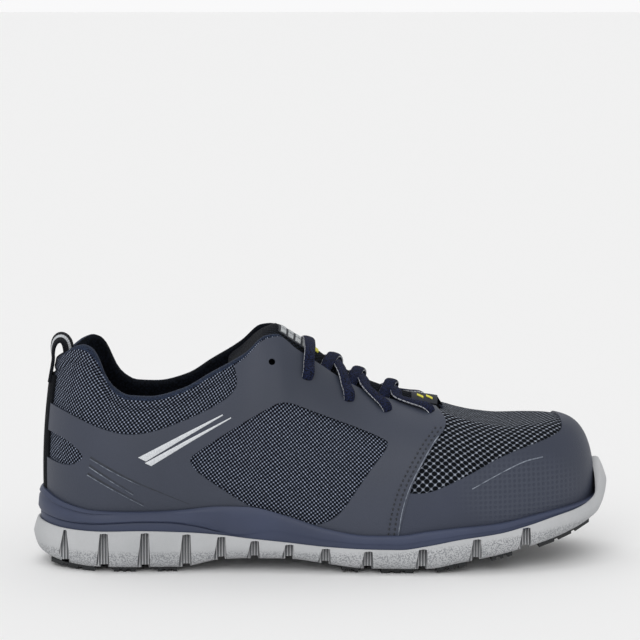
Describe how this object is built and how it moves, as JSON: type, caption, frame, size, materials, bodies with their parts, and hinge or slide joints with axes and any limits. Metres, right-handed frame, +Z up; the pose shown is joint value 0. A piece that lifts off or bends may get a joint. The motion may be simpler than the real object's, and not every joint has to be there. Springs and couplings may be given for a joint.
{
  "type": "safety sneaker",
  "caption": "Low lace-up safety sneaker for the right foot with mesh upper, smooth overlays, padded collar, heel pull loop and a flexible blocked foam sole with rubber treads.",
  "frame": {"origin": "on the floor under the middle of the shoe's bounding box", "axes": "+X from heel to toe, -Y towards the outer side of the foot, +Z up from the floor"},
  "size_m": [0.3, 0.1062, 0.1262],
  "materials": {
    "mesh_fabric": "open woven mesh over a dark backing",
    "smooth_overlay": "matt coated microfibre, bonded and stitched",
    "lining_fabric": "soft knitted lining",
    "midsole_foam": "satin moulded foam",
    "sole_foam": "matt moulded foam, finely speckled",
    "tread_rubber": "matt rubber",
    "insole_foam": "knitted cover over foam",
    "webbing": "ribbed woven tape",
    "lace": "flat braid with pale flecks"
  },
  "bodies": {
    "root": {"outsole": "sole_foam", "midsole": "midsole_foam", "insole": "insole_foam", "upper": "mesh_fabric", "toe_overlay": "smooth_overlay", "quarter_overlay_outer": "smooth_overlay", "quarter_overlay_inner": "smooth_overlay", "tongue": "lining_fabric", "heel_strip": "webbing", "pull_loop": "webbing", "lace_bar_top": "lace", "lace_crossing_1": "lace", "lace_crossing_2": "lace", "lace_crossing_3": "lace", "tread_pad_1": "tread_rubber", "tread_pad_2": "tread_rubber", "tread_pad_3": "tread_rubber", "tread_pad_4": "tread_rubber", "tread_pad_5": "tread_rubber", "tread_pad_6": "tread_rubber", "tread_pad_7": "tread_rubber", "tread_pad_8": "tread_rubber"}
  },
  "joints": []
}
